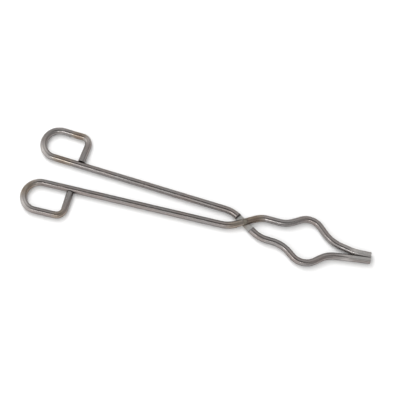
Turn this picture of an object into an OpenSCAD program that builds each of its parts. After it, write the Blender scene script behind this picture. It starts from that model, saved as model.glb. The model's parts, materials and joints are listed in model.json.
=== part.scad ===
// Crucible tongs: two arms bent from round steel rod, half-lapped where they
// cross and held by one rivet.  Each arm runs from a closed finger loop, along
// a straight shank, through the lapped crossing and out round a bow that
// straddles a crucible, to a flat serrated tip.
// Millimetres.  +X runs along the tongs towards the tips, +Y is across them and
// +Z is up from the bench they lie on.  The origin is under the middle of the
// closed tongs, on the bench.

/* [Rod] */
// Diameter of the rod that both arms are bent from
rod_d = 6; // [5:0.25:6.5]
// Chamfer round each sawn end of the rod
end_chamfer = 0.5; // [0.2:0.1:1]

/* [Finger loops] */
// Length of each loop along its shank, on the centre line
loop_len = 38.6; // [32:0.1:60]
// Width of each loop across its shank, on the centre line
loop_w = 26.8; // [24:0.1:32]
// Bend radius of the loop's closing corner, on the centre line
loop_corner_r = 7; // [5:0.5:9]
// Gap between the loop's free end and the shank it butts on
loop_end_gap = 0.15; // [0.05:0.05:0.5]

/* [Shanks] */
// Length of each shank, from the neck bend to the loop's closing side
shank_len = 141; // [80:1:220]
// Angle that each shank leans away from the centre line, in degrees
shank_angle = 2; // [1:0.25:5]

/* [Crossing] */
// Angle of each arm to the centre line where the arms cross, in degrees
cross_angle = 31.8; // [29:0.1:34]
// Distance from the crossing of the centre lines back to the neck bend
neck_dist = 13.5; // [12:0.1:16]
// Bend radius at the neck
neck_r = 27; // [18:1:36]

/* [Over arm's jaw] */
// Distance from the crossing forward to the shoulder bend
over_shoulder_dist = 16.3; // [14:0.1:18]
// Bend radius at the shoulder
over_shoulder_r = 19; // [14:0.5:24]
// Position of the waist bend along the tongs, from the crossing
over_waist_x = 36; // [35:0.1:38]
// Distance of the waist bend from the centre line
over_waist_y = 8.5; // [7:0.1:9.5]
// Bend radius at the waist
over_waist_r = 22; // [14:0.5:22.5]
// Position of the bow's crest along the tongs
over_crest_x = 55.7; // [55:0.1:58]
// Distance of the crest's corner from the centre line
over_crest_y = 21.9; // [21:0.1:25]
// Bend radius at the crest
over_crest_r = 14.6; // [10:0.1:14.8]
// Position of the flank bend, beyond the bow
over_flank_x = 76.7; // [76:0.1:80]
// Distance of the flank bend from the centre line
over_flank_y = 3; // [2:0.1:4]
// Bend radius at the flank
over_flank_r = 32; // [20:1:38]
// Bend radius where the straight nose begins
over_heel_r = 52; // [30:1:60]
// Length of the straight nose, to the tip
over_nose_len = 13.7; // [13:0.1:15]

/* [Under arm's jaw] */
// Distance from the crossing forward to the shoulder bend
under_shoulder_dist = 19.2; // [18:0.1:20]
// Bend radius at the shoulder
under_shoulder_r = 27.5; // [18:0.5:29]
// Position of the waist bend along the tongs, from the crossing
under_waist_x = 37; // [36.5:0.1:38]
// Distance of the waist bend from the centre line
under_waist_y = 10.4; // [9.5:0.1:11]
// Bend radius at the waist
under_waist_r = 28; // [18:0.5:28.5]
// Position of the bow's crest along the tongs
under_crest_x = 58.1; // [57.8:0.1:60]
// Distance of the crest's corner from the centre line
under_crest_y = 26.1; // [25.5:0.1:29]
// Bend radius at the crest
under_crest_r = 15.2; // [10:0.1:15.4]
// Bend radius where the straight nose begins
under_heel_r = 22; // [14:0.5:23]
// Length of the straight nose, to the tip
under_nose_len = 36.7; // [34:0.1:37.5]

/* [Gripping faces] */
// Distance from the crossing to the tips
tip_x = 112.3; // [112:0.1:116]
// Offset of the faces' ends from the centre line
tip_y = -1.7; // [-2.2:0.1:-1.2]
// Angle that the faces make with the centre line, in degrees
face_angle = 5.9; // [5:0.1:7]
// Length over which the rods are faced off, from the tips
face_len = 18.5; // [16:0.5:22]
// Depth faced off each rod at the tip
face_depth = 0.87; // [0.6:0.01:1.1]
// Gap between the two faces when the tongs are shut
face_gap = 0.15; // [0.1:0.05:0.3]
// Distance from one serration to the next
serration_pitch = 1.2; // [0.9:0.1:2]
// Width of each serration
serration_w = 0.5; // [0.3:0.05:0.7]
// Depth of each serration
serration_depth = 0.25; // [0.1:0.05:0.35]
// Length of each face that is serrated
serrated_len = 13; // [6:0.5:14]

/* [Rivet] */
// Distance of the rivet ahead of the crossing of the centre lines
rivet_ahead = 1.5; // [0:0.1:1.8]
// Diameter of the rivet's shank
rivet_d = 3; // [2.5:0.1:3.2]
// Diameter of the rivet's heads
rivet_head_d = 4.3; // [4.1:0.1:4.4]
// Height of the rivet's heads
rivet_head_h = 1; // [0.8:0.05:1.1]
// Running clearance round the rivet's shank in the under arm
rivet_clearance = 0.05; // [0.02:0.01:0.1]
// Length of the flat lap on each arm, centred beside the rivet
lap_len = 15.9; // [15:0.1:17]
// Gap between the two laps
lap_gap = 0.1; // [0.05:0.01:0.2]

/* [Hidden] */
$fn = 48;

rod_r = rod_d / 2;
rivet_r = rivet_d / 2;
// Lengths of rod stop this far short of each place where a bend begins or ends,
// and a short core, a hair thinner than the rod, joins them there
joint_gap = 0.03;
core_r = rod_r - 0.05;
core_len = 1;
// Reach of a cutting block that has to clear the rod on every side
past = 3 * rod_d;
// Each nose closes on the plane of the gripping faces by this angle
closing_angle = atan(face_depth / face_len);
serration_count = floor(serrated_len / serration_pitch);
// Middle of each lap, ahead of the crossing
lap_middle = rivet_ahead * cos(cross_angle);

// The handle's centre line, for the arm whose loop is on the -Y side
out_along = dir(180 + shank_angle);
out_across = dir(shank_angle - 90);
neck = -neck_dist * dir(cross_angle);
loop_near = neck + shank_len * out_along;
loop_far = loop_near + loop_len * out_along;
loop_start = loop_near + (rod_r + loop_end_gap) * out_across;

// Place of the crossing along X, with the closed tongs centred on the origin
loop_mid_x = loop_far.x + (loop_w / 2) * (out_across.x - out_along.x);
rear_x = loop_mid_x - loop_w / 2 - rod_r;
front_x = tip_point(-1).x + (rod_r - end_chamfer) * sin(-nose_angle(-1));
crossing_x = -(rear_x + front_x) / 2;

// Unit vector at an angle in plan
function dir(a) = [cos(a), sin(a)];

// Angle of the line from p to q
function heading(p, q) = atan2(q.y - p.y, q.x - p.x);

// Turn from heading a to heading b, between -180 and 180 degrees
function turn(a, b) = (b - a) - 360 * round((b - a) / 360);

// The straight nose, for side 1 (over arm) and side -1 (under arm, before it is mirrored)
function nose_angle(side) = side * face_angle - closing_angle;
function nose_len(side) = side > 0 ? over_nose_len : under_nose_len;
function face_end(side) = [tip_x, side * tip_y];
function tip_point(side) =
    face_end(side) + (rod_r - face_depth) * dir(side * face_angle + 90);
function heel(side) = tip_point(side) - nose_len(side) * dir(nose_angle(side));

// Corners of one arm's centre line, from the loop's free end to the tip, each
// as [place, bend radius]
function handle_corners() = [
    [loop_start, 0],
    [loop_near + loop_w * out_across, loop_corner_r],
    [loop_far + loop_w * out_across, loop_w / 2],
    [loop_far, loop_w / 2],
    [neck, neck_r]
];
function over_jaw_corners() = [
    [over_shoulder_dist * dir(cross_angle), over_shoulder_r],
    [[over_waist_x, over_waist_y], over_waist_r],
    [[over_crest_x, over_crest_y], over_crest_r],
    [[over_flank_x, over_flank_y], over_flank_r],
    [heel(1), over_heel_r],
    [tip_point(1), 0]
];
function under_jaw_corners() = [
    [under_shoulder_dist * dir(cross_angle), under_shoulder_r],
    [[under_waist_x, under_waist_y], under_waist_r],
    [[under_crest_x, under_crest_y], under_crest_r],
    [heel(-1), under_heel_r],
    [tip_point(-1), 0]
];
function corners(side) =
    concat(handle_corners(), side > 0 ? over_jaw_corners() : under_jaw_corners());

// Straight rod along +X from the origin, with its far end sawn and chamfered
module rod_end(length) {
    rotate([0, 90, 0]) {
        translate([0, 0, joint_gap])
            cylinder(h = length - joint_gap - end_chamfer, r = rod_r);
        translate([0, 0, length - end_chamfer])
            cylinder(h = end_chamfer, r1 = rod_r, r2 = rod_r - end_chamfer);
    }
}

// Torus sector that turns the rod from heading a to heading b at a corner
module bend(corner, a, b, r) {
    t = turn(a, b);
    trim = joint_gap / r * 180 / PI;
    start = corner - r * tan(abs(t) / 2) * dir(a);
    centre = start + sign(t) * r * dir(a + 90);
    translate([centre.x, centre.y, 0])
        rotate([0, 0, (t > 0 ? a - 90 : b + 90) + trim])
            rotate_extrude(angle = abs(t) - 2 * trim)
                translate([r, 0])
                    circle(r = rod_r);
}

// Core that joins two lengths of the rod end to end at the point p, along heading a
module core(p, a) {
    translate([p.x, p.y, 0])
        rotate([0, 90, a])
            cylinder(h = core_len, r = core_r, center = true);
}

// Rod bent along a centre line, given as its corners and their radii
module bent_rod(corners) {
    p = [for (c = corners) c[0]];
    r = [for (c = corners) c[1]];
    last = len(p) - 1;
    a = [for (i = [0 : last - 1]) heading(p[i], p[i + 1])];
    // Length of straight that each bend takes from the lines beside its corner
    used = [for (i = [0 : last]) r[i] == 0 ? 0 : r[i] * tan(abs(turn(a[i - 1], a[i])) / 2)];
    for (i = [0 : last - 1]) {
        from = p[i] + used[i] * dir(a[i]);
        to = p[i + 1] - used[i + 1] * dir(a[i]);
        length = (to - from) * dir(a[i]);
        assert(length > -joint_gap, "two bends overlap");
        if (i > 0)
            core(from, a[i]);
        if (i < last - 1 && length > core_len)
            core(to, a[i]);
        if (i == 0)
            translate([to.x, to.y, 0])
                rotate([0, 0, a[i] + 180])
                    rod_end(length);
        else if (i == last - 1)
            translate([from.x, from.y, 0])
                rotate([0, 0, a[i]])
                    rod_end(length);
        else if (length > core_len)
            translate([from.x, from.y, 0])
                rotate([0, 90, a[i]])
                    translate([0, 0, joint_gap])
                        cylinder(h = length - 2 * joint_gap, r = rod_r);
    }
    for (i = [1 : last - 1])
        bend(p[i], a[i - 1], a[i], r[i]);
}

// Block that clears the space beyond one gripping face, with its serrations
module face_cut(side) {
    end = face_end(side);
    translate([end.x, end.y, 0])
        rotate([0, 0, side * face_angle]) {
            translate([-face_len - past / 2, -past, -past / 2])
                cube([face_len + past, past + face_gap / 2, past]);
            for (i = [1 : serration_count])
                translate([-i * serration_pitch, face_gap / 2 - serration_w, -past / 2])
                    cube([serration_w, serration_w + serration_depth, past]);
        }
}

// One arm on its centre plane, with its jaw on the +Y side and the crossing at the origin.
// The lap takes away the half of the rod that lies towards lap_side of the plane.
module arm(side, lap_side, hole_r) {
    difference() {
        bent_rod(corners(side));
        rotate([0, 0, cross_angle])
            translate([lap_middle - lap_len / 2, -past / 2,
                       lap_side > 0 ? -lap_gap / 2 : lap_gap / 2 - past])
                cube([lap_len, past, past]);
        translate([rivet_ahead, 0, 0]) {
            cylinder(h = past, r = hole_r, center = true);
            translate([0, 0, lap_side > 0 ? -past - rod_r + rivet_head_h : rod_r - rivet_head_h])
                cylinder(h = past, r = rivet_head_d / 2 + rivet_clearance);
        }
        face_cut(side);
    }
}

// Place of the arms' centre plane over the bench, with the tongs centred on X
module in_place() {
    translate([crossing_x, 0, rod_r])
        children();
}

// Arm that crosses over the other, with its jaw on the +Y side
module over_arm() {
    color([0.52, 0.51, 0.5])
        in_place()
            arm(1, -1, rivet_r);
}

// Arm that crosses under the other, with its jaw on the -Y side
module under_arm() {
    color([0.5, 0.49, 0.48])
        in_place()
            mirror([0, 1, 0])
                arm(-1, 1, rivet_r + rivet_clearance);
}

// Low domed head of the rivet, standing on z = 0
module rivet_head(height) {
    dome_r = (pow(rivet_head_d / 2, 2) + height * height) / (2 * height);
    intersection() {
        cylinder(h = height, r = rivet_head_d / 2);
        translate([0, 0, height - dome_r])
            sphere(r = dome_r);
    }
}

// Rivet, tight in the over arm and free in the under arm
module pivot_rivet() {
    seat_z = rod_r - rivet_head_h;
    color([0.6, 0.58, 0.54])
        in_place()
            translate([rivet_ahead, 0, 0]) {
                translate([0, 0, -seat_z - lap_gap / 2])
                    cylinder(h = 2 * seat_z + lap_gap / 2, r = rivet_r);
                translate([0, 0, seat_z])
                    rivet_head(rivet_head_h);
                mirror([0, 0, 1])
                    translate([0, 0, seat_z + lap_gap / 2])
                        rivet_head(rivet_head_h - lap_gap / 2);
            }
}

over_arm();
under_arm();
pivot_rivet();
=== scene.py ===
"""Crucible tongs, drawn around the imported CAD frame.

Both arms are swept along the same bends as the CAD rods, with the half laps, the
gripping faces, their serrations and the rivet's seats worked into the mesh.
Dimensions are in millimetres, as in the CAD source, and become metres in one place.
"""
import json
import math

import bpy
import numpy as np
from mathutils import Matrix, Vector


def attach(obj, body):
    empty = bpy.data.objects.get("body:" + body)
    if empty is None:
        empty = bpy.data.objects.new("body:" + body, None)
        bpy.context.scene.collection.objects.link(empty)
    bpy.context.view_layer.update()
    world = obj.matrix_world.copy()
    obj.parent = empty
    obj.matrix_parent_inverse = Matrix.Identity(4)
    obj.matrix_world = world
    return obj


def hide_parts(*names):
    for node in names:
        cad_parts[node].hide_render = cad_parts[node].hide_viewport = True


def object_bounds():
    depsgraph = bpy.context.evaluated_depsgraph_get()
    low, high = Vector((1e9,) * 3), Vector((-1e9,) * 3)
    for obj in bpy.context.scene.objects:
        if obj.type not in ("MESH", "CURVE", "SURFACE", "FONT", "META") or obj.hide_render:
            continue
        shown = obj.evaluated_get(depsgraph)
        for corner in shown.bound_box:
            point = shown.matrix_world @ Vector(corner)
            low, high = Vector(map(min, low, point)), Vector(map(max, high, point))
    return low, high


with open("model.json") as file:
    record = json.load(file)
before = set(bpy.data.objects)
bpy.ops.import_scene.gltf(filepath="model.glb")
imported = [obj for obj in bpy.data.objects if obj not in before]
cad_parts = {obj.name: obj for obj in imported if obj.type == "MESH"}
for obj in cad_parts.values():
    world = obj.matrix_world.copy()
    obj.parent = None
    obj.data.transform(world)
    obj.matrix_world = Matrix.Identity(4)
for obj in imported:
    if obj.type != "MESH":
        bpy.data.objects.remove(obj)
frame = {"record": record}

cad_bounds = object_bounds()
MM = 0.001

# ---------------------------------------------------------------- dimensions, mm
ROD_R = 3.0
END_ROUND = 0.5
# Hand-bent drawn rod is this much thin on average, and loses this share of its width in
# a bend for each 1/mm of curvature
ROD_THINNED = 0.022
BEND_OVAL = 0.10

LOOP_LEN = 38.6
LOOP_W = 26.8
LOOP_CORNER_R = 7.0
LOOP_END_GAP = 0.15
SHANK_LEN = 141.0
SHANK_ANGLE = 2.0
CROSS_ANGLE = 31.8
NECK_DIST = 13.5
NECK_R = 27.0

TIP_X = 112.3
TIP_Y = -1.7
FACE_ANGLE = 5.9
FACE_LEN = 18.5
FACE_DEPTH = 0.87
FACE_GAP = 0.15
SERRATION_PITCH = 1.2
SERRATION_W = 0.5
SERRATION_DEPTH = 0.25
SERRATED_LEN = 13.0
SERRATION_SLOPE = 0.06
SERRATION_COUNT = int(SERRATED_LEN / SERRATION_PITCH)
# The jaw's end is hammered flatter on top over a length, and then fades into the round rod
NOSE_FLAT = 0.28
NOSE_FLAT_LEN = 17.0
NOSE_FADE = 4.0
# Length from the tip within which the jaw's end is worked at all
JAW_END_LEN = FACE_LEN + 4.0

# The rivet is this far ahead of the crossing of the arms' centre lines
RIVET_AHEAD = 1.5
RIVET_R = 1.5
RIVET_HEAD_R = 2.15
RIVET_HEAD_H = 1.0
RIVET_CLEARANCE = 0.05
# Height at which each head sits on its seat, and the upright edge of the head above it
SEAT_Z = ROD_R - RIVET_HEAD_H
RIVET_EDGE = 0.12
# The under arm turns against the lower head, so that one stands this clear of its seat
SEAT_PLAY = 0.03
LAP_LEN = 15.9
LAP_GAP = 0.1
LAP_MIDDLE = RIVET_AHEAD * math.cos(math.radians(CROSS_ANGLE))
# Each end of the lap rises from its foot to the rod's crown over the lean
LAP_FOOT = LAP_LEN / 2 - 0.25
SHOULDER_LEAN = 0.7
SHOULDER_RISE = 1.2 * ROD_R
# Share of the lean that is a concave foot
FOOT_SHARE = 0.3
# Rounding along the laps' edges
LAP_EDGE_R = 0.16

# Bends of each jaw, as (distance along the tongs, distance across, bend radius)
OVER_JAW = {
    "shoulder": (16.3, 19.0),
    "bends": [(36.0, 8.5, 22.0), (55.7, 21.9, 14.6), (76.7, 3.0, 32.0)],
    "heel_r": 52.0,
    "nose_len": 13.7,
}
UNDER_JAW = {
    "shoulder": (19.2, 27.5),
    "bends": [(37.0, 10.4, 28.0), (58.1, 26.1, 15.2)],
    "heel_r": 22.0,
    "nose_len": 36.7,
}
# Order of an arm's first bends, from its free end; the bow is made of two quarter turns
LOOP_CORNER, BOW_FAR, BOW_NEAR, NECK, SHOULDER, WAIST = range(6)

PIVOT = Vector(frame["record"]["behaviour"]["joints"][0]["pos_m"])
CROSSING = PIVOT - Vector((RIVET_AHEAD * MM, 0, 0))


# ---------------------------------------------------------------- centre lines
def unit(angle):
    """Unit vector in plan at an angle in degrees."""
    return np.array((math.cos(math.radians(angle)), math.sin(math.radians(angle))))


def arm_corners(side, jaw):
    """Corners of an arm's centre line from its free end to its tip, as (place, radius).

    The jaw is on +Y and the crossing is at the origin. side is 1 for the over arm
    and -1 for the under arm, whose line is mirrored later.
    """
    out_along = unit(180 + SHANK_ANGLE)
    out_across = unit(SHANK_ANGLE - 90)
    neck = -NECK_DIST * unit(CROSS_ANGLE)
    loop_near = neck + SHANK_LEN * out_along
    loop_far = loop_near + LOOP_LEN * out_along
    closing = math.degrees(math.atan(FACE_DEPTH / FACE_LEN))
    face_end = np.array((TIP_X, side * TIP_Y))
    tip = face_end + (ROD_R - FACE_DEPTH) * unit(side * FACE_ANGLE + 90)
    heel = tip - jaw["nose_len"] * unit(side * FACE_ANGLE - closing)
    shoulder_dist, shoulder_r = jaw["shoulder"]
    return [
        (loop_near + (ROD_R + LOOP_END_GAP) * out_across, 0.0),
        (loop_near + LOOP_W * out_across, LOOP_CORNER_R),
        (loop_far + LOOP_W * out_across, LOOP_W / 2),
        (loop_far, LOOP_W / 2),
        (neck, NECK_R),
        (shoulder_dist * unit(CROSS_ANGLE), shoulder_r),
        *[(np.array((x, y)), r) for x, y, r in jaw["bends"]],
        (heel, jaw["heel_r"]),
        (tip, 0.0),
    ]


class CentreLine:
    """Straights and arcs through a list of corners, read by distance along the line."""

    def __init__(self, corners):
        points = [np.array(p, float) for p, r in corners]
        radii = [r for p, r in corners]
        steps = [q - p for p, q in zip(points, points[1:])]
        headings = [math.atan2(d[1], d[0]) for d in steps]
        bent = [math.remainder(b - a, math.tau) for a, b in zip(headings, headings[1:])]
        turns = [0.0, *bent, 0.0]
        used = [r * math.tan(abs(t) / 2) for r, t in zip(radii, turns)]
        self.start, self.place, self.heading, self.curve = [], [], [], []
        # Start and end of each bend
        self.bends = []
        s = 0.0
        for i, step in enumerate(steps):
            along = step / np.linalg.norm(step)
            length = np.linalg.norm(step) - used[i] - used[i + 1]
            self._add(s, points[i] + used[i] * along, headings[i], 0.0)
            s += length
            if turns[i + 1]:
                curve = math.copysign(1 / radii[i + 1], turns[i + 1])
                self._add(s, points[i + 1] - used[i + 1] * along, headings[i], curve)
                arc = abs(turns[i + 1]) * radii[i + 1]
                s += arc
                self.bends.append((s - arc, s))
        self.length = s

    def _add(self, s, place, heading, curve):
        self.start.append(s)
        self.place.append(place)
        self.heading.append(heading)
        self.curve.append(curve)

    def at(self, s):
        """Places, headings and curvatures at an array of distances."""
        s = np.asarray(s, float)
        k = np.clip(np.searchsorted(self.start, s, side="right") - 1, 0, len(self.start) - 1)
        ds = s - np.array(self.start)[k]
        h0 = np.array(self.heading)[k]
        curve = np.array(self.curve)[k]
        h1 = h0 + curve * ds
        bent = np.abs(curve) > 0
        safe = np.where(bent, curve, 1.0)
        dx = np.where(bent, (np.sin(h1) - np.sin(h0)) / safe, ds * np.cos(h0))
        dy = np.where(bent, (np.cos(h0) - np.cos(h1)) / safe, ds * np.sin(h0))
        return np.array(self.place)[k] + np.stack((dx, dy), -1), h1, curve


# ---------------------------------------------------------------- rod meshes
# Vertices round the rod, and the longest and shortest steps between its rings
RING = 96
STEP_MAX = 1.3
STEP_MIN = 0.35


def end_radius(from_end):
    """Radius of the rod at a distance from one of its rounded ends."""
    d = np.clip(from_end, 0, END_ROUND)
    return ROD_R - END_ROUND + np.sqrt(END_ROUND**2 - (END_ROUND - d) ** 2)


def stations(line, crossing, face_start):
    """Distances along the line at which the rod has a ring, closer where the shape is finer."""
    spots = [0.0]
    while spots[-1] < line.length:
        curve = abs(float(line.at([spots[-1]])[2][0]))
        step = STEP_MAX if curve == 0 else min(STEP_MAX, max(STEP_MIN, 0.055 / curve))
        spots.append(spots[-1] + step)
    spots = [s for s in spots if s < line.length]
    # Rounded ends
    end = [END_ROUND * (1 - math.cos(math.radians(a))) for a in range(0, 91, 15)]
    spots += end + [line.length - d for d in end]
    # Lap shoulders, and the flat between them
    middle = crossing + LAP_MIDDLE
    fine = np.arange(LAP_FOOT - 0.5, LAP_FOOT + SHOULDER_LEAN + 0.7, 0.07)
    spots += list(middle - fine) + list(middle + fine)
    spots += list(middle + np.arange(-LAP_FOOT, LAP_FOOT, 0.2))
    # The faced nose, and both edges of every serration
    spots += list(np.arange(face_start, line.length, 0.5))
    near_edges = (-0.03, 0.03, 0.1)
    for i in range(1, SERRATION_COUNT + 1):
        edge = line.length - i * SERRATION_PITCH
        spots += [edge + d for d in near_edges]
        spots += [edge + SERRATION_W - d for d in near_edges]
    spots = np.unique(np.round(spots, 4))
    keep = [spots[0]]
    for s in spots[1:-1]:
        if s - keep[-1] > 0.025:
            keep.append(s)
    return np.array(keep + [spots[-1]])


def smooth_min(a, b, k):
    """Lower of a and b, with the corner between them rounded over about k."""
    h = np.clip(0.5 + 0.5 * (b - a) / k, 0, 1)
    return b + (a - b) * h - k * h * (1 - h)


def lap_height(u):
    """Height of the lap above its flat at a distance u from its middle."""
    t = np.clip((np.abs(u) - LAP_FOOT) / SHOULDER_LEAN, 0, None)
    # A concave foot and then a steep, slightly leaning wall
    foot = t * t / (2 * FOOT_SHARE)
    return SHOULDER_RISE * np.where(t < FOOT_SHARE, foot, t - FOOT_SHARE / 2)


def serration(w):
    """Depth of the serrations at a distance w back from the tip, along the face."""
    i = np.floor(w / SERRATION_PITCH)
    inside = w - i * SERRATION_PITCH
    near = np.minimum(inside - (SERRATION_PITCH - SERRATION_W), SERRATION_PITCH - inside)
    groove = np.clip(0.5 + near / SERRATION_SLOPE, 0, 1)
    return np.where((w > 0) & (i < SERRATION_COUNT), groove, 0.0) * SERRATION_DEPTH


def waviness(s, angle, phase):
    """Small unevenness of hand-bent drawn rod, in millimetres."""
    wave = 0.010 * np.sin(s / 4.1 + phase) + 0.008 * np.sin(s / 2.3 + 2 * angle + 2 * phase)
    return wave + 0.007 * np.sin(s / 7.7 - angle + 3 * phase) - ROD_THINNED


def swept_rod(side, jaw):
    """Vertices (rings x RING x 3) in mm from the crossing, their line, and its crossing."""
    line = CentreLine(arm_corners(side, jaw))
    neck_end = line.bends[NECK][1]
    crossing = neck_end + float(np.linalg.norm(line.at([neck_end])[0][0]))
    s = stations(line, crossing, line.length - FACE_LEN - 1.0)
    centre, heading, curve = line.at(s)
    angle = np.linspace(0, math.tau, RING, endpoint=False)
    grow = np.minimum(end_radius(s), end_radius(line.length - s))
    radius = grow[:, None] + waviness(s[:, None], angle[None, :], 1.3 + side)
    # A bend leaves the rod a little oval, narrower across the bend
    oval = 1 - BEND_OVAL * np.abs(curve)
    across = radius * np.cos(angle) * oval[:, None]
    up = radius * np.sin(angle)
    left = np.stack((-np.sin(heading), np.cos(heading)), -1)
    plan = centre[:, None, :] + across[..., None] * left[:, None, :]

    # Half lap: the over arm (side 1) loses its lower half and the under arm its upper half
    lap_side = -side
    u = plan @ unit(CROSS_ANGLE) - LAP_MIDDLE
    v = plan @ unit(CROSS_ANGLE + 90)
    at_lap = (np.abs(u) < LAP_FOOT + SHOULDER_LEAN + 1.5) & (np.abs(v) < 2 * ROD_R)
    flat = lap_height(u) - LAP_GAP / 2
    lapped = lap_side * smooth_min(lap_side * up, flat, LAP_EDGE_R)
    up = np.where(at_lap, lapped, up)

    # Gripping face: what is past the face's plane is pushed back onto it
    end = np.array((TIP_X, side * TIP_Y))
    along, normal = unit(side * FACE_ANGLE), unit(side * FACE_ANGLE - 90)
    past = (plan - end) @ normal
    back = -((plan - end) @ along)
    depth = -FACE_GAP / 2 - serration(back)
    near_tip = (back < JAW_END_LEN) & (plan[..., 0] > TIP_X / 2)
    faced = smooth_min(past, depth, 0.05)
    # The jaw's end is hammered a little flat on top
    flattened = 1 - smooth_step(back, NOSE_FLAT_LEN, NOSE_FLAT_LEN + NOSE_FADE)
    top = ROD_R - NOSE_FLAT * flattened + 0.02
    dents = 0.03 * np.sin(2.9 * back + 1.7 * past + side) * np.sin(1.3 * back + side)
    up = np.where(near_tip, smooth_min(up, top + dents, 0.12), up)
    plan = np.where(near_tip[..., None], plan + (faced - past)[..., None] * normal, plan)
    return np.concatenate((plan, up[..., None]), -1), line, crossing


def rod_mesh(name, rings):
    """Closed quad mesh through the rings, with its flat ends filled by smaller rings."""
    count = len(rings)
    verts = list(rings.reshape(-1, 3))
    faces = []
    for i in range(count - 1):
        a, b = i * RING, (i + 1) * RING
        for j in range(RING):
            k = (j + 1) % RING
            faces.append((a + j, b + j, b + k, a + k))
    for ring, first in ((rings[0], 0), (rings[-1], (count - 1) * RING)):
        outward = first > 0
        mid = ring.mean(0)
        outer = [first + j for j in range(RING)]
        for share in (0.75, 0.5, 0.25):
            inner = list(range(len(verts), len(verts) + RING))
            verts += list(mid + (ring - mid) * share)
            for j in range(RING):
                k = (j + 1) % RING
                quad = (outer[j], inner[j], inner[k], outer[k])
                faces.append(quad if outward else quad[::-1])
            outer = inner
        verts.append(mid)
        tip = len(verts) - 1
        for j in range(RING):
            tri = (outer[j], tip, outer[(j + 1) % RING])
            faces.append(tri if outward else tri[::-1])
    mesh = bpy.data.meshes.new(name)
    mesh.from_pydata([tuple(v) for v in verts], [], faces)
    return mesh


def lathe(profile, segments):
    """Closed mesh data turned about Z from (radius, height) pairs, first and last on the axis."""
    verts, faces, rings = [], [], []
    for r, z in profile:
        if r == 0:
            rings.append([len(verts)])
            verts.append((0, 0, z))
            continue
        rings.append(list(range(len(verts), len(verts) + segments)))
        for j in range(segments):
            a = math.tau * j / segments
            verts.append((r * math.cos(a), r * math.sin(a), z))
    for lower, upper in zip(rings, rings[1:]):
        for j in range(segments):
            k = (j + 1) % segments
            if len(lower) == 1:
                faces.append((lower[0], upper[k], upper[j]))
            elif len(upper) == 1:
                faces.append((lower[j], lower[k], upper[0]))
            else:
                faces.append((lower[j], lower[k], upper[k], upper[j]))
    return verts, faces


def cut(obj, cutter):
    """Subtracts a closed cutter mesh from obj, and removes the cutter."""
    modifier = obj.modifiers.new("cut", "BOOLEAN")
    modifier.operation = "DIFFERENCE"
    modifier.solver = "EXACT"
    modifier.object = cutter
    depsgraph = bpy.context.evaluated_depsgraph_get()
    result = bpy.data.meshes.new_from_object(obj.evaluated_get(depsgraph))
    obj.modifiers.clear()
    obj.data = result
    bpy.data.objects.remove(cutter)


def linked(name, mesh):
    """New object in the scene with that mesh."""
    obj = bpy.data.objects.new(name, mesh)
    bpy.context.scene.collection.objects.link(obj)
    return obj


def add_attribute(mesh, name, values):
    """Stores one number or one vector for each vertex."""
    kind, field = ("FLOAT", "value") if np.ndim(values) == 1 else ("FLOAT_VECTOR", "vector")
    data = mesh.attributes.new(name, kind, "POINT").data
    data.foreach_set(field, np.asarray(values, np.float32).ravel())


def rivet_cutter(side):
    """Cutter for an arm's rivet hole and for the seat of the head on that arm's outer side."""
    hole = RIVET_R + (0.0 if side > 0 else RIVET_CLEARANCE)
    seat = RIVET_HEAD_R + RIVET_CLEARANCE
    far = 2 * ROD_R
    profile = [(0, -far), (hole, -far), (hole, SEAT_Z), (seat, SEAT_Z), (seat, far), (0, far)]
    verts, faces = lathe(profile, RING)
    mesh = bpy.data.meshes.new("rivet_cutter")
    mesh.from_pydata([(RIVET_AHEAD + x, y, side * z) for x, y, z in verts], [], faces)
    if side < 0:
        mesh.flip_normals()
    return linked("rivet_cutter", mesh)


def make_arm(name, side, jaw):
    """One arm as an object in place, with the attributes that its material reads."""
    rings, line, crossing = swept_rod(side, jaw)
    arm = linked(name, rod_mesh(name, rings))
    cut(arm, rivet_cutter(side))
    mesh = arm.data
    co = np.zeros(len(mesh.vertices) * 3)
    mesh.vertices.foreach_get("co", co)
    co = co.reshape(-1, 3)

    # Where each vertex is along the rod and round it
    fine = np.arange(0, line.length, 0.25)
    centre, heading, _ = line.at(fine)
    nearest = np.concatenate([
        np.argmin(((part[:, None, :2] - centre[None]) ** 2).sum(-1), 1)
        for part in np.array_split(co, max(1, len(co) // 4000))
    ])
    offset = co[:, :2] - centre[nearest]
    h = heading[nearest]
    along = fine[nearest] + offset[:, 0] * np.cos(h) + offset[:, 1] * np.sin(h)
    across = -offset[:, 0] * np.sin(h) + offset[:, 1] * np.cos(h)
    add_attribute(mesh, "rod", np.stack((along, across, co[:, 2]), -1))
    add_attribute(mesh, "worked", worked_share(co, side))
    add_attribute(mesh, "tempered", heat_share(along, side, line, crossing))
    # Polished spots are also lightened as painted highlights, and the corners are darkened as
    # painted shade
    add_attribute(mesh, "polish_highlight", polish_highlight_share(along, side, line))
    add_attribute(mesh, "painted_shade", painted_shade_share(co, side))

    mirror = np.array((1, side, 1))
    co = (co * mirror) * MM + np.array(CROSSING)
    mesh.vertices.foreach_set("co", co.ravel())
    if side < 0:
        mesh.flip_normals()
    finish_mesh(mesh)
    return arm


def finish_mesh(mesh):
    """Smooth shading, except across sharp edges."""
    mesh.validate()
    for polygon in mesh.polygons:
        polygon.use_smooth = True
    mesh.set_sharp_from_angle(angle=math.radians(38))
    mesh.update()


def smooth_step(x, low, high):
    """0 below low and 1 above high, with a soft rise between."""
    t = np.clip((x - low) / (high - low), 0, 1)
    return t * t * (3 - 2 * t)


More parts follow.
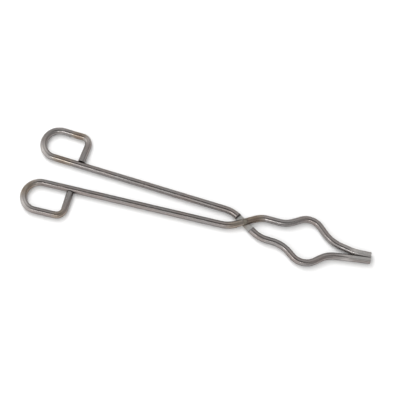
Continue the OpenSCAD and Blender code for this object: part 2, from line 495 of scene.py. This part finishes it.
def worked_share(co, side):
    """1 on the cut surfaces, the lap and the gripping face, and less on the hammered nose."""
    u = np.abs(co[:, :2] @ unit(CROSS_ANGLE) - LAP_MIDDLE)
    v = np.abs(co[:, :2] @ unit(CROSS_ANGLE + 90))
    on_flat = np.abs(co[:, 2] * -side + LAP_GAP / 2) < 0.12
    lap = on_flat & (u < LAP_FOOT + 0.3) & (v < ROD_R)
    end = np.array((TIP_X, side * TIP_Y))
    past = (co[:, :2] - end) @ unit(side * FACE_ANGLE - 90)
    back = -((co[:, :2] - end) @ unit(side * FACE_ANGLE))
    face = (past > -FACE_GAP / 2 - SERRATION_DEPTH - 0.02) & (back < FACE_LEN + 1) & (back > -1)
    on_nose_top = (co[:, 2] > ROD_R - NOSE_FLAT - 0.35) & (co[:, 0] > TIP_X / 2)
    hammered = (1 - smooth_step(back, NOSE_FLAT_LEN - 3, NOSE_FLAT_LEN)) * on_nose_top
    return np.maximum(np.where(lap | face, 1.0, 0.0), 0.55 * hammered)


def painted_shade_share(co, side):
    """1 in the corners where shade is painted into the steel's colour: the lap's shoulders and the
    rivet's seat.
    """
    u = np.abs(co[:, :2] @ unit(CROSS_ANGLE) - LAP_MIDDLE)
    v = np.abs(co[:, :2] @ unit(CROSS_ANGLE + 90))
    lap_side = -side
    top = LAP_FOOT + SHOULDER_LEAN
    wall = smooth_step(u, LAP_FOOT - 0.35, LAP_FOOT) * (1 - smooth_step(u, top, top + 0.9))
    shoulder = wall * (lap_side * co[:, 2] > -0.4) * (v < 2 * ROD_R)
    rho = np.hypot(co[:, 0] - RIVET_AHEAD, co[:, 1])
    seat = (1 - smooth_step(rho, RIVET_HEAD_R + 0.05, RIVET_HEAD_R + 0.35)) * (side * co[:, 2] > 1)
    return np.maximum(shoulder, seat)


def soft_spots(along, spots):
    """Strongest at each place of soft spots given as (middle, width, strength)."""
    total = np.zeros_like(along)
    for middle, width, strength in spots:
        total = np.maximum(total, strength * np.exp(-(((along - middle) / width) ** 2)))
    return total


def heat_share(along, side, line, crossing):
    """0 to 1 where the steel shows straw and brown heat colours."""
    corner_end = line.bends[LOOP_CORNER][1]
    bow_middle, bow_end = line.bends[BOW_NEAR]
    if side > 0:
        return soft_spots(along, [
            (corner_end - 4, 6, 0.6),
            (bow_middle + 6, 11, 0.7),
            (crossing - 7, 9, 0.55),
            (crossing + 8, 9, 1.0),
        ])
    return soft_spots(along, [
        (corner_end + 3, 7, 0.85),
        (bow_end + 9, 9, 0.8),
        (crossing + 1, 5, 0.6),
    ])


def polish_highlight_share(along, side, line):
    """0 to 1 where handling and the table have polished the outside of the bends; the material
    lightens these spots as painted highlights.
    """
    middle = [(start + end) / 2 for start, end in line.bends]
    heel = middle[-1]
    if side > 0:
        flank = middle[-2]
        return soft_spots(along, [
            (middle[BOW_FAR], 6, 1.0),
            (middle[BOW_NEAR] + 4, 4, 0.5),
            (middle[WAIST] - 16, 3, 0.4),
            (flank + 12, 4, 0.5),
            (heel - 1, 4, 1.0),
        ])
    return soft_spots(along, [
        (middle[BOW_NEAR], 7, 1.0),
        (middle[LOOP_CORNER], 4, 0.7),
        (middle[BOW_FAR] - 8, 4, 0.5),
        (heel + 16, 5, 1.0),
    ])


def rivet_profile():
    """Outline of the rivet as (radius, height) pairs, from its lower head to its upper one."""
    steps = 14
    head = []
    for i in range(steps + 1):
        share = math.sin(math.pi / 2 * i / steps)
        rise = (1 - share**6) ** 0.5 if share < 1 else 0.0
        height = SEAT_Z + RIVET_EDGE + (RIVET_HEAD_H - RIVET_EDGE) * rise
        head.append((RIVET_HEAD_R * share, height))
    underside = [(RIVET_HEAD_R - 0.04, SEAT_Z), (RIVET_R, SEAT_Z)]
    lower = [(r, -z) for r, z in head] + [(r, -z - SEAT_PLAY) for r, z in underside]
    return lower + (head + underside)[::-1]


def peen(co):
    """Dents both heads, and beats the upper one down over the side of its rod."""
    rho = np.hypot(co[:, 0], co[:, 1])
    angle = np.arctan2(co[:, 1], co[:, 0])
    on_head = (np.abs(co[:, 2]) > SEAT_Z + 0.05) & (rho < RIVET_HEAD_R + 0.1)
    dents = 0.05 * np.sin(2.1 * co[:, 0] + 0.7) * np.cos(1.9 * co[:, 1] - 0.4)
    dents += 0.03 * np.sin(3.7 * co[:, 1] + 1.9 * co[:, 0])
    sunk = np.sign(co[:, 2]) * (0.08 + dents) * (1 - rho / RIVET_HEAD_R * 0.5)
    co[:, 2] -= np.where(on_head, sunk, 0)
    edge = on_head & (rho > 0.6 * RIVET_HEAD_R)
    wobble = 1 - 0.012 - 0.012 * np.sin(3 * angle + 0.8) - 0.008 * np.sin(7 * angle)
    co[:, :2] *= np.where(edge, wobble, 1.0)[:, None]
    from_line = (co[:, :2] + np.array((RIVET_AHEAD, 0))) @ unit(CROSS_ANGLE + 90)
    skin = np.sqrt(np.clip(ROD_R**2 - from_line**2, 0.4, None))
    is_under = np.abs(co[:, 2] - SEAT_Z) < 0.01
    lowered = smooth_min(co[:, 2], skin + np.where(is_under, -0.5, 0.1), 0.25)
    beaten = on_head & (co[:, 2] > 0) | is_under & (rho > RIVET_R + 0.1)
    co[:, 2] = np.where(beaten, lowered, co[:, 2])
    return co


def make_rivet():
    """The rivet, with a peened head at each end."""
    verts, faces = lathe(rivet_profile(), RING)
    co = peen(np.array(verts, float))
    mesh = bpy.data.meshes.new("rivet")
    mesh.from_pydata([tuple(p) for p in co * MM + np.array(PIVOT)], [], faces)
    add_attribute(mesh, "rod", co)
    finish_mesh(mesh)
    return linked("peened_rivet", mesh)


# ---------------------------------------------------------------- materials
class Nodes:
    """Short forms for building a material's node tree."""

    def __init__(self, name):
        self.material = bpy.data.materials.new(name)
        self.material.use_nodes = True
        self.tree = self.material.node_tree
        self.shader = self.tree.nodes["Principled BSDF"]

    def add(self, kind, **settings):
        node = self.tree.nodes.new(kind)
        for key, value in settings.items():
            setattr(node, key, value)
        return node

    def link(self, source, target):
        self.tree.links.new(source, target)

    def attribute(self, name, vector=False):
        node = self.add("ShaderNodeAttribute", attribute_type="GEOMETRY", attribute_name=name)
        return node.outputs["Vector"] if vector else node.outputs["Fac"]

    def stretched(self, vector, scale, offset=(0, 0, 0)):
        node = self.add("ShaderNodeMapping")
        node.inputs["Scale"].default_value = scale
        node.inputs["Location"].default_value = offset
        self.link(vector, node.inputs["Vector"])
        return node.outputs["Vector"]

    def noise(self, vector, scale, detail=3.0, roughness=0.5):
        node = self.add("ShaderNodeTexNoise")
        node.inputs["Scale"].default_value = scale
        node.inputs["Detail"].default_value = detail
        node.inputs["Roughness"].default_value = roughness
        self.link(vector, node.inputs["Vector"])
        return node.outputs["Fac"]

    def spread(self, value, low, high, to_low=0.0, to_high=1.0):
        node = self.add("ShaderNodeMapRange", interpolation_type="SMOOTHSTEP")
        limits = {"From Min": low, "From Max": high, "To Min": to_low, "To Max": to_high}
        for key, number in limits.items():
            node.inputs[key].default_value = number
        self.link(value, node.inputs["Value"])
        return node.outputs["Result"]

    def math(self, operation, a, b):
        node = self.add("ShaderNodeMath", operation=operation)
        for socket, value in zip(node.inputs, (a, b)):
            if isinstance(value, (int, float)):
                socket.default_value = value
            else:
                self.link(value, socket)
        return node.outputs["Value"]

    def mix(self, share, a, b, blend="MIX"):
        node = self.add("ShaderNodeMix", data_type="RGBA", blend_type=blend)
        first, second = [s for s in node.inputs if s.type == "RGBA"]
        for socket, value in ((node.inputs[0], share), (first, a), (second, b)):
            if isinstance(value, (int, float)):
                socket.default_value = value
            elif isinstance(value, tuple):
                socket.default_value = (*value, 1.0)
            else:
                self.link(value, socket)
        return [s for s in node.outputs if s.type == "RGBA"][0]

    def bump(self, height, strength, distance, after=None):
        node = self.add("ShaderNodeBump")
        node.inputs["Strength"].default_value = strength
        node.inputs["Distance"].default_value = distance
        self.link(height, node.inputs["Height"])
        if after is not None:
            self.link(after, node.inputs["Normal"])
        return node.outputs["Normal"]


STEEL = (0.305, 0.288, 0.282)
STEEL_WARM = (0.31, 0.272, 0.258)
STEEL_DARK = (0.16, 0.15, 0.145)
STRAW = (0.38, 0.315, 0.235)
BROWN = (0.20, 0.135, 0.10)
BARE = (0.58, 0.58, 0.565)
# Pale steel of polished spots, painted in as highlights
POLISHED_HIGHLIGHT = (0.56, 0.53, 0.51)
# Dark scale of the specks, also used as painted shade in the corners
SCALE_AND_SHADE = (0.035, 0.033, 0.032)
RIVET_PALE = (0.33, 0.31, 0.27)
RIVET_STRAW = (0.28, 0.24, 0.19)
TABLE_LOW = (0.86, 0.86, 0.86)
TABLE_HIGH = (0.88, 0.88, 0.88)


def rod_steel():
    """Drawn and lightly oxidised steel rod, with straw heat colours and bare cut faces."""
    n = Nodes("rod_steel")
    rod = n.attribute("rod", vector=True)
    streaks = n.noise(n.stretched(rod, (0.02, 1.6, 1.6)), 1.0, 5, 0.6)
    hairlines = n.noise(n.stretched(rod, (0.03, 4.0, 4.0), (3, 1, 7)), 1.0, 3, 0.6)
    clouds = n.noise(n.stretched(rod, (0.045, 0.12, 0.12), (5, 2, 0)), 1.0, 3, 0.55)
    smudges = n.noise(n.stretched(rod, (0.16, 0.35, 0.35), (1, 9, 4)), 1.0, 4, 0.6)
    specks = n.noise(n.stretched(rod, (1.3, 2.2, 2.2)), 1.0, 2, 0.5)

    colour = n.mix(n.spread(clouds, 0.38, 0.66), STEEL, STEEL_WARM)
    colour = n.mix(n.spread(streaks, 0.52, 0.72, 0, 0.55), colour, STEEL_DARK)
    colour = n.mix(n.spread(hairlines, 0.58, 0.75, 0, 0.35), colour, STEEL_DARK)

    grain = n.noise(n.stretched(rod, (5.0, 0.25, 5.0), (2, 2, 2)), 1.0, 3, 0.6)
    bare = n.mix(n.spread(grain, 0.35, 0.75, 0, 0.7), BARE, STEEL)
    worked = n.attribute("worked")
    colour = n.mix(worked, colour, bare)

    heat = n.math("MULTIPLY", n.attribute("tempered"), n.spread(smudges, 0.25, 0.55, 0.35, 1.0))
    colour = n.mix(n.spread(heat, 0.05, 0.55, 0, 0.5), colour, STRAW)
    colour = n.mix(n.spread(heat, 0.35, 0.9, 0, 0.55), colour, BROWN)
    colour = n.mix(n.spread(specks, 0.68, 0.76, 0, 0.5), colour, SCALE_AND_SHADE)
    # Painted highlights: polished spots on the bends and noses lightened towards pale steel, with
    # slightly lower roughness
    polish_highlight = n.math("MULTIPLY", n.attribute("polish_highlight"), n.spread(streaks, 0.3, 0.6, 0.5, 1.0))
    colour = n.mix(n.math("MULTIPLY", polish_highlight, 0.75), colour, POLISHED_HIGHLIGHT)
    # Painted shade: the lap's shoulders and the rivet's seat darkened towards near-black steel
    painted_shade = n.attribute("painted_shade")
    colour = n.mix(n.math("MULTIPLY", painted_shade, 0.25), colour, SCALE_AND_SHADE)
    n.link(colour, n.shader.inputs["Base Color"])

    streaked = n.spread(hairlines, 0.4, 0.7, -0.02, 0.04)
    rough = n.math("ADD", n.spread(smudges, 0.3, 0.7, 0.17, 0.28), streaked)
    for share, change in ((worked, 0.18), (painted_shade, 0.3), (polish_highlight, -0.06)):
        rough = n.math("ADD", rough, n.math("MULTIPLY", share, change))
    n.link(rough, n.shader.inputs["Roughness"])

    lines = n.bump(hairlines, 0.2, 0.00003)
    pits = n.bump(n.spread(specks, 0.62, 0.75), 0.3, 0.00005, lines)
    milled = n.math("MULTIPLY", grain, worked)
    n.link(n.bump(milled, 0.35, 0.00006, pits), n.shader.inputs["Normal"])
    n.shader.inputs["Metallic"].default_value = 1.0
    n.shader.inputs["Specular Tint"].default_value = (0.26, 0.26, 0.26, 1.0)
    return n.material


def rivet_steel():
    """Softer, brighter steel with hammer marks and a straw tint."""
    n = Nodes("rivet_steel")
    place = n.attribute("rod", vector=True)
    blows = n.noise(n.stretched(place, (1.1, 1.1, 1.1), (4, 0, 1)), 1.0, 2, 0.5)
    scuffs = n.noise(n.stretched(place, (6.0, 1.4, 3.0), (0, 3, 2)), 1.0, 5, 0.65)
    colour = n.mix(n.spread(blows, 0.35, 0.65), RIVET_PALE, RIVET_STRAW)
    colour = n.mix(n.spread(scuffs, 0.55, 0.72, 0, 0.6), colour, STEEL_DARK)
    n.link(colour, n.shader.inputs["Base Color"])
    n.link(n.spread(scuffs, 0.3, 0.7, 0.30, 0.48), n.shader.inputs["Roughness"])
    n.link(n.bump(scuffs, 0.3, 0.00005), n.shader.inputs["Normal"])
    n.shader.inputs["Metallic"].default_value = 1.0
    return n.material


def floor_white():
    """Matt white table top with a faint mottle."""
    n = Nodes("floor_white")
    place = n.add("ShaderNodeTexCoord").outputs["Object"]
    mottle = n.noise(place, 60.0, 3, 0.5)
    n.link(n.mix(mottle, TABLE_LOW, TABLE_HIGH), n.shader.inputs["Base Color"])
    n.shader.inputs["Roughness"].default_value = 0.8
    n.shader.inputs["Specular IOR Level"].default_value = 0.2
    return n.material


# ---------------------------------------------------------------- studio
CAMERA_AZIMUTH = 16.3
CAMERA_ELEVATION = 66.03
CAMERA_DISTANCE = 1.0
CAMERA_LENS = 103.45
# Point that the camera looks at, from the crossing
CAMERA_TARGET = Vector((-0.0422, 0.0108, -0.003))


def towards(azimuth, elevation):
    """Unit vector from the object to a place at that azimuth and elevation, as views name them."""
    a, e = math.radians(azimuth), math.radians(elevation)
    return Vector((math.sin(a) * math.cos(e), -math.cos(a) * math.cos(e), math.sin(e)))


def make_camera():
    data = bpy.data.cameras.new("camera")
    data.sensor_width = 36.0
    data.lens = CAMERA_LENS
    data.clip_start, data.clip_end = 0.01, 20.0
    camera = bpy.data.objects.new("camera", data)
    back = towards(CAMERA_AZIMUTH, CAMERA_ELEVATION)
    camera.rotation_mode = "QUATERNION"
    camera.rotation_quaternion = (-back).to_track_quat("-Z", "Y")
    camera.location = CROSSING + CAMERA_TARGET + back * CAMERA_DISTANCE
    bpy.context.scene.collection.objects.link(camera)
    bpy.context.scene.camera = camera


def make_floor():
    reach = 3.0
    z = cad_bounds[0].z
    mesh = bpy.data.meshes.new("floor")
    square = [(-reach, -reach, z), (reach, -reach, z), (reach, reach, z), (-reach, reach, z)]
    mesh.from_pydata(square, [], [(0, 1, 2, 3)])
    floor = linked("floor", mesh)
    mesh.materials.append(floor_white())


# Soft parts of the light tent: azimuth, elevation, angle where full, angle where gone, gain
TENT_BASE = 0.51
TENT_LOBES = [
    (-42, 22, 12, 75, 0.56),
    (-115, 18, 8, 60, 0.26),
    (168, 52, 6, 36, 0.36),
]
# Dark opening over the table
TENT_OPENING = (-45, 78, 7, 25, -0.85)


def make_world():
    """Light tent: pale, brighter on two sides, with a darker opening overhead."""
    world = bpy.data.worlds.new("tent")
    bpy.context.scene.world = world
    world.use_nodes = True
    tree = world.node_tree
    coordinate = tree.nodes.new("ShaderNodeTexCoord")

    def lobe(azimuth, elevation, full, gone, gain):
        dot = tree.nodes.new("ShaderNodeVectorMath")
        dot.operation = "DOT_PRODUCT"
        dot.inputs[1].default_value = towards(azimuth, elevation)
        tree.links.new(coordinate.outputs["Generated"], dot.inputs[0])
        share = tree.nodes.new("ShaderNodeMapRange")
        share.interpolation_type = "SMOOTHERSTEP"
        share.inputs["From Min"].default_value = math.cos(math.radians(gone))
        share.inputs["From Max"].default_value = math.cos(math.radians(full))
        share.inputs["To Max"].default_value = gain
        tree.links.new(dot.outputs["Value"], share.inputs["Value"])
        return share.outputs["Result"]

    def combine(operation, a, b):
        node = tree.nodes.new("ShaderNodeMath")
        node.operation = operation
        for socket, value in zip(node.inputs, (a, b)):
            if isinstance(value, float):
                socket.default_value = value
            else:
                tree.links.new(value, socket)
        return node.outputs["Value"]

    level = TENT_BASE
    for settings in TENT_LOBES:
        level = combine("ADD", level, lobe(*settings))
    level = combine("MULTIPLY", level, combine("ADD", 1.0, lobe(*TENT_OPENING)))
    background = tree.nodes["Background"]
    background.inputs["Color"].default_value = (1.0, 0.995, 0.99, 1.0)
    tree.links.new(level, background.inputs["Strength"])


def make_light(name, azimuth, elevation, distance, size, energy, mirrored=False):
    """Round soft light that only lights matt things or, if mirrored, only shows in the steel."""
    data = bpy.data.lights.new(name, "AREA")
    data.shape = "DISK"
    data.size = size
    data.energy = energy
    light = bpy.data.objects.new(name, data)
    away = towards(azimuth, elevation)
    light.location = away * distance
    light.rotation_mode = "QUATERNION"
    light.rotation_quaternion = (-away).to_track_quat("-Z", "Y")
    light.visible_glossy = mirrored
    light.visible_diffuse = not mirrored
    bpy.context.scene.collection.objects.link(light)


def make_studio():
    make_camera()
    make_floor()
    make_world()
    make_light("key", 222, 46, 1.6, 0.8, 12.0)
    make_light("fill", 0, 90, 2.0, 2.4, 13.0)
    make_light("front_fill", -15, 36, 2.0, 1.6, 7.5)
    make_light("softbox", -38, 46, 0.9, 0.20, 0.45, mirrored=True)
    make_light("glint", 5, 45, 0.9, 0.08, 0.22, mirrored=True)
    settings = bpy.context.scene.view_settings
    settings.view_transform = "Standard"
    settings.look = "None"


# ---------------------------------------------------------------- assembly
def main():
    make_studio()
    steel = rod_steel()
    for name, node, side, jaw in (
        ("over_arm_rod", "over_arm", 1, OVER_JAW),
        ("under_arm_rod", "under_arm", -1, UNDER_JAW),
    ):
        arm = make_arm(name, side, jaw)
        arm.data.materials.append(steel)
        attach(arm, node)
        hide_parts(node)
    rivet = make_rivet()
    rivet.data.materials.append(rivet_steel())
    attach(rivet, "over_arm")
    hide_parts("pivot_rivet")


main()
